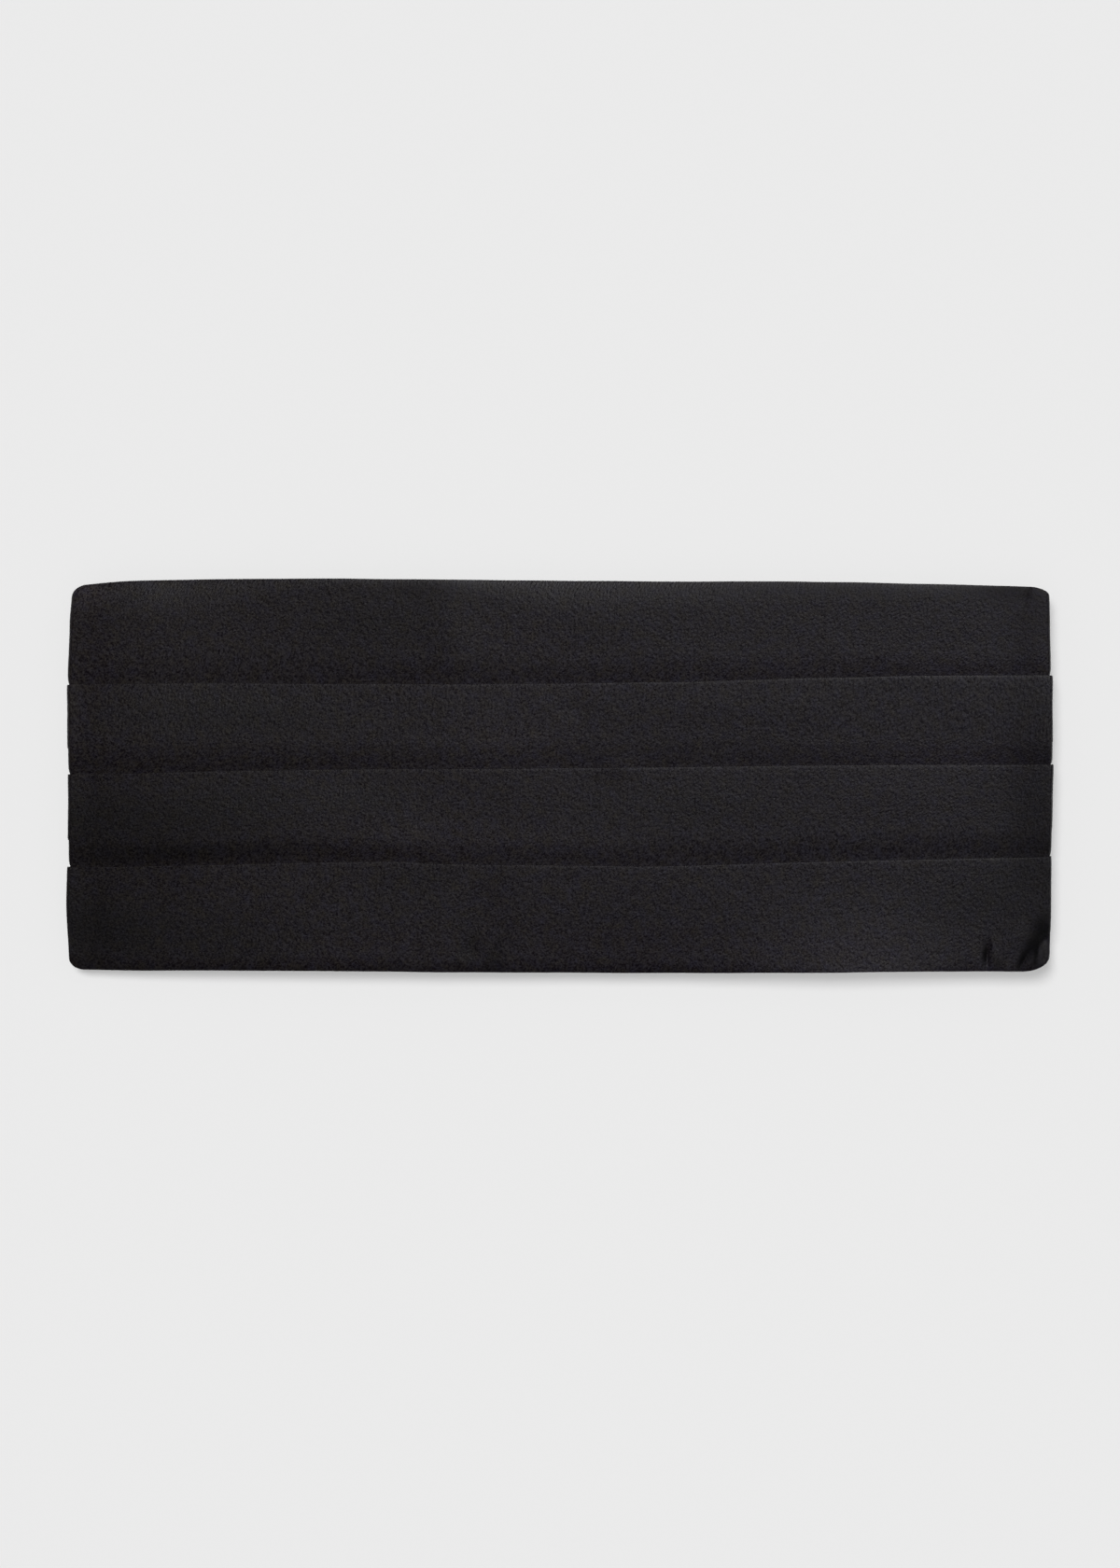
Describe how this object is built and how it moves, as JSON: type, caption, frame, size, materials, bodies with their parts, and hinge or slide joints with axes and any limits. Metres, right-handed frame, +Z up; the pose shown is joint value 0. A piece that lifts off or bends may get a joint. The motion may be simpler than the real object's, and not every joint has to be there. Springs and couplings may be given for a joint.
{
  "type": "cummerbund",
  "caption": "Black satin cummerbund with knife pleats facing up, laid flat with both ends turned under, joined behind by an elastic strap with a slide.",
  "frame": {"origin": "on the table, under the middle of the folded cummerbund", "axes": "+X along the length, to the viewer's right; +Y across the tiers, to the top edge as worn; +Z up from the table, out of the pleated face"},
  "size_m": [0.328, 0.1309, 0.009],
  "materials": {
    "black_satin": "satin weave, soft sheen",
    "black_lining": "plain woven lining, dull",
    "black_elastic": "ribbed elastic webbing, matt",
    "black_steel": "black lacquered steel, semi-gloss"
  },
  "bodies": {
    "root": {"pleat_1_top": "black_satin", "pleat_2": "black_satin", "pleat_3": "black_satin", "pleat_4_bottom": "black_satin", "inner_layers": "black_lining", "strap": "black_elastic", "strap_slide": "black_steel"}
  },
  "joints": []
}
